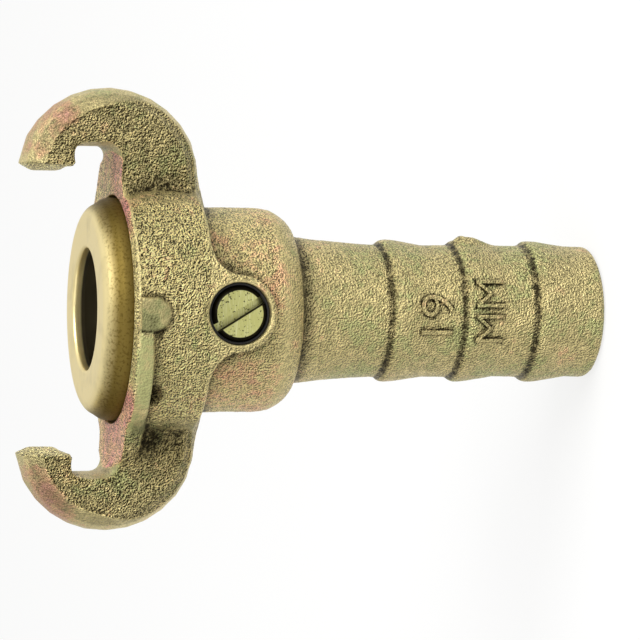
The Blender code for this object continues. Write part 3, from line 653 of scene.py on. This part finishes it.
def makeCasting(shape):
    startClean()
    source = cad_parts["coupling_body"]
    piece = source.copy()
    piece.data = source.data.copy()
    piece.name = "cast_body"
    piece.hide_render = piece.hide_viewport = False
    piece.parent = None
    bpy.context.scene.collection.objects.link(piece)
    pick(piece)
    bpy.ops.object.mode_set(mode="EDIT")
    bpy.ops.mesh.select_all(action="SELECT")
    bpy.ops.mesh.remove_doubles(threshold=0.00001)
    bpy.ops.object.mode_set(mode="OBJECT")
    applyModifier(piece, "REMESH", mode="VOXEL", voxel_size=shape["skin"] * mm, use_smooth_shade=True)
    applyModifier(piece, "SMOOTH", factor=0.5, iterations=shape["relax"])
    weightGroup(piece, "soft", softPlaces(readCoords(piece.data), shape))
    applyModifier(piece, "SMOOTH", factor=0.5, iterations=shape["softRounds"], vertex_group="soft")

    # mid level 1: the relief only goes inwards, so the casting keeps within its solid
    bite = castingZones(readCoords(piece.data), readNormals(piece.data), shape)[0]
    for name, weights, noiseType in (
        ("wave", ease(bite, 0.02, 0.2), "SOFT_NOISE"),
        ("sand", bite, "HARD_NOISE"),
    ):
        weightGroup(piece, name, weights)
        texture = bpy.data.textures.new(name, "CLOUDS")
        texture.noise_scale = shape[name + "Size"] * mm
        texture.noise_depth = 1
        texture.noise_type = noiseType
        applyModifier(piece, "DISPLACE", texture=texture, vertex_group=name, mid_level=1.0,
                      strength=shape[name + "Relief"] * mm, texture_coords="LOCAL")
    piece.vertex_groups.clear()
    triangles = sum(len(p.vertices) - 2 for p in piece.data.polygons)
    if triangles > shape["faces"]:
        applyModifier(piece, "DECIMATE", ratio=shape["faces"] / triangles)

    mesh = piece.data
    normals = readNormals(mesh)
    coords = pushLumps(mesh, readCoords(mesh), normals, shape)
    paintCasting(mesh, coords, normals, shape)
    for face in mesh.polygons:
        face.use_smooth = True
    print("casting", len(mesh.polygons), "faces")
    return piece


casting = makeCasting(castingShape)
dress(casting, castIron, "coupling", "casting", "coupling_body")


def softenEdges(piece, width, angle=30):  # width in mm
    applyModifier(piece, "BEVEL", width=width * mm, segments=2, limit_method="ANGLE",
                  angle_limit=math.radians(angle))


def makeNoseRing():
    outline = [(16.9, 74.403), (16.9, 76.503), (16.675, 77.283), (16.0, 78.303)]
    outline += arc((13.6, 77.303), 2.6, 32, 90, 10)
    outline += arc((9.8, 79.403), 0.5, 90, 180, 6)
    outline += [(9.3, 78.603), (10.2, 77.803), (10.2, 70.21)]
    outline += [(13.0, 70.21), (13.6, 70.81), (13.6, 74.403)]
    piece = turnedPiece("nose_ring_turned", outline, sides=144)
    softenEdges(piece, 0.1)
    smoothShade(piece)
    return piece


noseRing = makeNoseRing()
dress(noseRing, brass, "coupling", "nose_brass", "nose_ring")
print("nose ring turned")


# the valve: stem, its rubber ring and the ball, drawn along Z and tipped out to -Y

stemShape = {  # mm, along its own axis from the coupling's
    "slotWidth": 1.3,
    "slotDepth": 1.9,
    "faceLevel": 18.6,
    "tang": (6.8, 3.0, 2.65),
    "tangLevel": 10.725,
    "wallRadius": 3.4,  # the slot's sides, painted dark as painted shade, lie within this of the stem's axis
    "wallLevel": 16.5,  # and beyond this
}
ballShape = {  # mm
    "radius": 11.2,
    "bore": 7.0,        # radius
    "slotFloor": 9.1,   # where the stem's tang sits
    "slotWidth": 3.6,
}


def tipOut(piece):  # from +Z to -Y, turned as the slot stands
    piece.matrix_world = (Matrix.Translation((0, 0, stemZ)) @ Matrix.Rotation(math.pi / 2, 4, "X")
                          @ Matrix.Rotation(slotTurn, 4, "Z"))
    settle(piece)


def makeBlock(name, size, centre):
    startClean()
    bpy.ops.mesh.primitive_cube_add(
        size=1, location=[c * mm for c in centre], scale=[s * mm for s in size])
    block = bpy.context.object
    block.name = name
    bpy.ops.object.transform_apply(location=True, rotation=True, scale=True)
    return block


def boolean(piece, other, operation):
    applyModifier(piece, "BOOLEAN", object=other, operation=operation, solver="EXACT")
    bpy.data.objects.remove(other)


def makeStem(shape):
    outline = [(5.5, 11.5), (5.5, 12.6), (4.2, 12.6), (4.2, 15.0), (4.2, 17.85), (3.9, 18.25),
               (3.48, shape["faceLevel"])]
    piece = turnedPiece("valve_stem_turned", outline, sides=96, capped=True)
    boolean(piece, makeBlock("tang", shape["tang"], (0, 0, shape["tangLevel"])), "UNION")
    slotSize = (shape["slotWidth"], 20, 2 * shape["slotDepth"])
    boolean(piece, makeBlock("slot", slotSize, (0, 0, shape["faceLevel"])), "DIFFERENCE")
    softenEdges(piece, 0.06)
    tipOut(piece)
    smoothShade(piece)
    return piece


def makeStemSeal():
    outline = [(4.21, 16.6), (4.69, 16.6)] + arc((4.45, 17.75), 0.24, 0, 180, 10)
    piece = turnedPiece("stem_seal_rubber", outline, sides=96)
    tipOut(piece)
    smoothShade(piece, 60)
    return piece


def makeBall(shape):  # turned about its bore, which stands along the screw slot
    reach = math.degrees(math.acos(shape["bore"] / shape["radius"]))
    outline = arc((0, 0), shape["radius"], -reach, reach, 40)
    piece = turnedPiece("valve_ball_turned", outline, sides=128)
    deep = shape["radius"] + 1 - shape["slotFloor"]
    centre = (0, -shape["slotFloor"] - deep / 2, 0)
    boolean(piece, makeBlock("tangSlot", (24, deep, shape["slotWidth"]), centre), "DIFFERENCE")
    softenEdges(piece, 0.15)
    piece.matrix_world = Matrix.Translation((0, 0, stemZ)) @ Matrix.Rotation(-slotTurn, 4, "Y")
    settle(piece)
    smoothShade(piece)
    return piece


valveStem = makeStem(stemShape)
dress(valveStem, stemSteel, "valve", "stem_steel", "valve_stem")
# the slot's sides get the dark material: painted shade in the slot
valveStem.data.materials.append(slotWall)
for face in valveStem.data.polygons:
    x, y, z = face.center
    nearAxis = math.hypot(x, z - stemZ) < stemShape["wallRadius"] * mm
    if nearAxis and y < -stemShape["wallLevel"] * mm and abs(face.normal.y) < 0.3:
        face.material_index = 1
stemSeal = makeStemSeal()
dress(stemSeal, rubber, "valve", "seal_rubber", "stem_o_ring")
valveBall = makeBall(ballShape)
dress(valveBall, chrome, "valve", "ball_plating", "valve_ball")
print("valve turned")


# the cast size mark on the tail: plain raised characters that follow the barbs

markLook = {  # mm, reading towards +X, tops towards the claws
    "19": {"across": (-3.3, 2.8), "along": (24.7, 29.8)},
    "MM": {"across": (-4.5, 5.2), "along": (16.6, 21.1)},
}
markShape = {
    "proud": 0.22,   # mm above the barb
    "sunk": 0.5,
    "thin": -0.022,  # thins the strokes, of the characters' own height
    "halo": 0.45,    # mm of painted shade on the casting round each stroke
}


def barbRadius(z):  # mm, the tail's own outline
    crestRadius, grooveRadius = 11.1, 10.32
    levels, radii = [0], [crestRadius]
    for crest in crests:
        levels += [crest - 6.6, crest - 2.1, crest, crest + 1.15]
        radii += [grooveRadius, crestRadius, crestRadius, grooveRadius]
    return np.interp(z, levels, radii)


def makeMark(words, place, shape):
    startClean()
    bpy.ops.object.text_add(location=(0, 0, 0))
    piece = bpy.context.object
    piece.data.body = words
    piece.data.extrude = 0.1
    piece.data.bevel_depth = 0.012
    piece.data.offset = shape["thin"]
    piece.data.resolution_u = 6
    bpy.ops.object.convert(target="MESH")
    piece = bpy.context.object
    piece.name = "size_mark_" + words
    pick(piece)
    bpy.ops.object.mode_set(mode="EDIT")
    bpy.ops.mesh.select_all(action="SELECT")
    bpy.ops.mesh.remove_doubles(threshold=0.0001)
    bpy.ops.mesh.quads_convert_to_tris()
    for _ in range(2):
        bpy.ops.mesh.subdivide(number_cuts=1)
    bpy.ops.object.mode_set(mode="OBJECT")
    flat = readCoords(piece.data)
    low, high = flat.min(axis=0), flat.max(axis=0)
    share = (flat - low) / (high - low)
    x = place["across"][0] + share[:, 0] * (place["across"][1] - place["across"][0])
    z = place["along"][0] + share[:, 1] * (place["along"][1] - place["along"][0])
    radius = barbRadius(z)
    lift = -shape["sunk"] + share[:, 2] * (shape["sunk"] + shape["proud"])
    angle = x / radius
    bent = np.column_stack([
        np.sin(angle) * (radius + lift), -np.cos(angle) * (radius + lift), z]) * mm
    piece.data.vertices.foreach_set("co", bent.ravel())
    piece.data.update()
    pick(piece)
    bpy.ops.object.mode_set(mode="EDIT")
    bpy.ops.mesh.select_all(action="SELECT")
    bpy.ops.mesh.normals_make_consistent(inside=False)
    bpy.ops.object.mode_set(mode="OBJECT")
    smoothShade(piece, 40)
    paint(piece.data, "grain", np.full(len(flat), 0.5))
    paint(piece.data, "tint", np.full(len(flat), 0.5))
    paint(piece.data, "pit", np.zeros(len(flat)))
    # painted shade on the strokes, less of it towards their tops
    paint(piece.data, "crease", 0.2 + (1 - ease(share[:, 2], 0.6, 0.98)) * 0.7)
    return piece


def haloMark(casting, marks, reach):  # painted shade on the casting close round each stroke
    coords = readCoords(casting.data)
    x, y, z = (coords * 1000).T
    trees = [BVHTree.FromObject(m, bpy.context.evaluated_depsgraph_get()) for m in marks]
    crease = np.empty(len(coords), dtype=np.float32)
    casting.data.attributes["crease"].data.foreach_get("value", crease)
    near = np.flatnonzero((y < -7) & (z > 15) & (z < 31) & (np.hypot(x, y) > 9.5))
    for index in near:
        gap = min((tree.find_nearest(coords[index])[3] or 1) for tree in trees) * 1000
        crease[index] = max(crease[index], 1.0 - ease(gap, 0.05, reach))
    casting.data.attributes["crease"].data.foreach_set("value", crease)


marks = [makeMark(words, place, markShape) for words, place in markLook.items()]
for mark in marks:
    dress(mark, castIron, "coupling", "casting")
haloMark(casting, marks, markShape["halo"])
print("size mark cast")


# what stays from the solids gets its own finish
for name, finish in {
    "nose_seal": rubber, "front_seat": ptfe, "rear_seat": ptfe, "stem_washer": ptfe,
}.items():
    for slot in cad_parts[name].material_slots:
        slot.material = finish


studio = {
    "floorColour": "#ffffff",
    "floorPaint": "#f2f2f0",
    "floorLift": 0.76,           # share of the floor's white that its shadow doesn't touch
    "skyLevel": 0.48,            # soft light tent, dimmer on the lens's side than on the far one
    "skySlope": (0.20, 0.16, 0.28),
    "lamps": (
        ("key", (0.50, -0.40, 0.70), 0.65, 7.0),
        ("fill", (-0.5, -0.5, 0.35), 0.9, 2.5),
    ),
}


def makeStudio(look):
    startClean()
    bpy.ops.mesh.primitive_plane_add(size=4, location=(0, 0, 0))
    floor = bpy.context.object
    floor.name = "studio_floor"
    material, tree = newMaterial("painted_pale_floor")
    # matt paint; what the lens and the metal see of it is lifted to white, and the shadow stays
    rays = addNode(tree, "ShaderNodeLightPath").outputs
    seen = calc(tree, "MAXIMUM", rays["Is Camera Ray"], rays["Is Glossy Ray"])
    seen = calc(tree, "MAXIMUM", seen, rays["Is Transmission Ray"])
    paintShader = addNode(tree, "ShaderNodeBsdfDiffuse", {"Color": linear(look["floorPaint"])})
    lift = addNode(tree, "ShaderNodeEmission", {
        "Color": linear(look["floorColour"]), "Strength": seen})
    mixed = addNode(tree, "ShaderNodeMixShader", {
        0: look["floorLift"], 1: paintShader.outputs[0], 2: lift.outputs[0]})
    finishMaterial(tree, mixed)
    floor.data.materials.append(material)

    world = bpy.data.worlds.new("studio")
    world.use_nodes = True
    tree = world.node_tree
    tree.nodes.clear()
    way = addNode(tree, "ShaderNodeTexCoord").outputs["Generated"]
    slope = addNode(tree, "ShaderNodeVectorMath", {
        0: way, 1: look["skySlope"]}, operation="DOT_PRODUCT").outputs["Value"]
    level = calc(tree, "ADD", slope, look["skyLevel"])
    sky = addNode(tree, "ShaderNodeBackground", {"Color": linear("#ffffff"), "Strength": level})
    addNode(tree, "ShaderNodeOutputWorld", {"Surface": sky.outputs[0]})
    bpy.context.scene.world = world

    for name, place, size, power in look["lamps"]:
        lamp = bpy.data.lights.new(name, "AREA")
        lamp.size = size
        lamp.energy = power
        holder = bpy.data.objects.new(name, lamp)
        bpy.context.scene.collection.objects.link(holder)
        holder.location = place
        aim = Vector((0, 0, 0.045)) - Vector(place)
        holder.rotation_euler = aim.to_track_quat("-Z", "Y").to_euler()


makeStudio(studio)
bpy.context.scene.view_settings.view_transform = "Standard"
print("studio lit")
